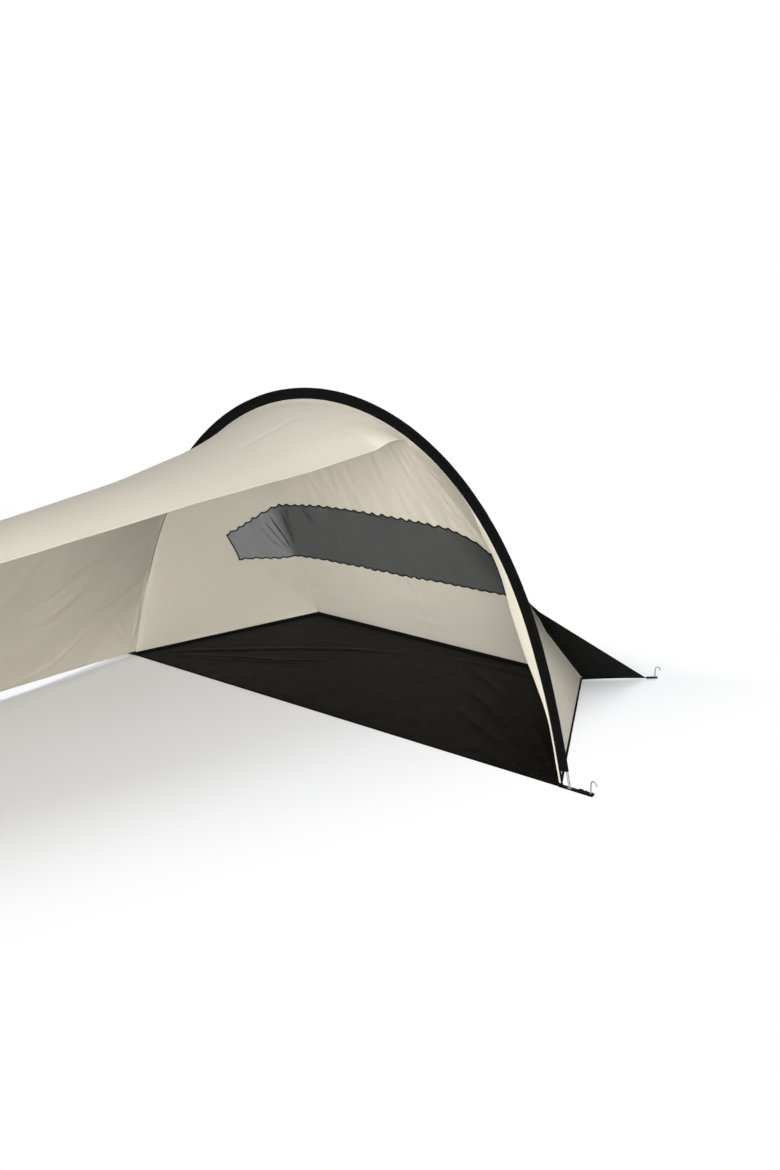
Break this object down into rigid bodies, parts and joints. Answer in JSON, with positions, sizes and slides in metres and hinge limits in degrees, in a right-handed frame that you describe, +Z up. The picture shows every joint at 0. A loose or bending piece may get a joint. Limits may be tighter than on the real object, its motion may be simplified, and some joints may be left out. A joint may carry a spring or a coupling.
{
  "type": "sunshade tarp",
  "caption": "Beach shelter with one bent hoop, an enclosed rear shell with a mesh window, a groundsheet, and an awning carried out to a telescopic upright.",
  "frame": {"origin": "on the ground, on the groundsheet's underside, midway between the two feet of the hoop", "axes": "+Z up, +X along the line of the hoop's feet towards the right foot seen from the front, +Y to the rear wall; the awning reaches out along -Y"},
  "size_m": [2.7874, 4.2454, 1.5216],
  "materials": {
    "pole": "drawn, anodised silver",
    "sleeve": "matte woven",
    "canopy": "matte woven, sand coloured",
    "facing": "matte woven, sand coloured",
    "awning": "matte woven, sand coloured",
    "netting": "fine knitted mesh",
    "fin": "matte woven",
    "groundsheet": "coated, slightly glossy",
    "webbing": "ribbed tape",
    "eyelet": "nickel plated",
    "peg": "zinc plated wire",
    "upright_tube": "drawn, anodised silver",
    "upright_plastic": "moulded black"
  },
  "bodies": {
    "shelter": {"pole_section_1": "pole", "pole_section_2": "pole", "pole_section_3": "pole", "pole_section_4": "pole", "pole_section_5": "pole", "pole_section_6": "pole", "pole_section_7": "pole", "pole_section_8": "pole", "pole_section_9": "pole", "pole_tip_left": "pole", "pole_tip_right": "pole", "pole_sleeve": "sleeve", "rear_canopy": "canopy", "hoop_facing": "facing", "awning": "awning", "awning_front_binding": "awning", "awning_side_binding": "awning", "awning_end_binding": "awning", "window_mesh": "netting", "corner_fin_left": "fin", "corner_fin_right": "fin", "groundsheet": "groundsheet", "window_binding": "webbing", "fin_loop_left": "webbing", "fin_loop_right": "webbing", "side_hem_left": "webbing", "side_hem_right": "webbing", "rear_hem": "webbing", "groundsheet_front_tape": "webbing", "corner_strap_left": "webbing", "corner_strap_right": "webbing", "sleeve_riser_left": "webbing", "sleeve_riser_right": "webbing", "awning_peg_loop": "webbing", "awning_corner_tab": "webbing", "foot_eyelet_left": "eyelet", "foot_eyelet_right": "eyelet", "awning_grommet": "eyelet"},
    "corner_peg_left_body": {"corner_peg_left": "peg"},
    "corner_peg_right_body": {"corner_peg_right": "peg"},
    "fin_peg_left_body": {"fin_peg_left": "peg"},
    "fin_peg_right_body": {"fin_peg_right": "peg"},
    "awning_peg_body": {"awning_peg": "peg"},
    "upright_upper": {"upright_tip": "upright_tube", "upright_upper_tube": "upright_tube"},
    "upright_lower": {"upright_lower_tube": "upright_tube", "upright_foot": "upright_plastic", "upright_lock_collar": "upright_plastic"}
  },
  "joints": [
    {"name": "corner_peg_left_pull", "type": "slide", "parent": "shelter", "child": "corner_peg_left_body", "axis": [0, 0, 1], "range_m": [0, 0.12]},
    {"name": "corner_peg_right_pull", "type": "slide", "parent": "shelter", "child": "corner_peg_right_body", "axis": [0, 0, 1], "range_m": [0, 0.12]},
    {"name": "fin_peg_left_pull", "type": "slide", "parent": "shelter", "child": "fin_peg_left_body", "axis": [0, 0, 1], "range_m": [0, 0.12]},
    {"name": "fin_peg_right_pull", "type": "slide", "parent": "shelter", "child": "fin_peg_right_body", "axis": [0, 0, 1], "range_m": [0, 0.12]},
    {"name": "awning_peg_pull", "type": "slide", "parent": "shelter", "child": "awning_peg_body", "axis": [0, 0, 1], "range_m": [0, 0.12]},
    {"name": "upright_swing", "type": "hinge", "parent": "shelter", "child": "upright_upper", "pos_m": [-0.08917, -3.03433, 1.05], "axis": [1, 0, 0], "range_deg": [-12, 12]},
    {"name": "upright_telescope", "type": "slide", "parent": "upright_upper", "child": "upright_lower", "axis": [0, 0, 1], "range_m": [0, 0.3]}
  ]
}
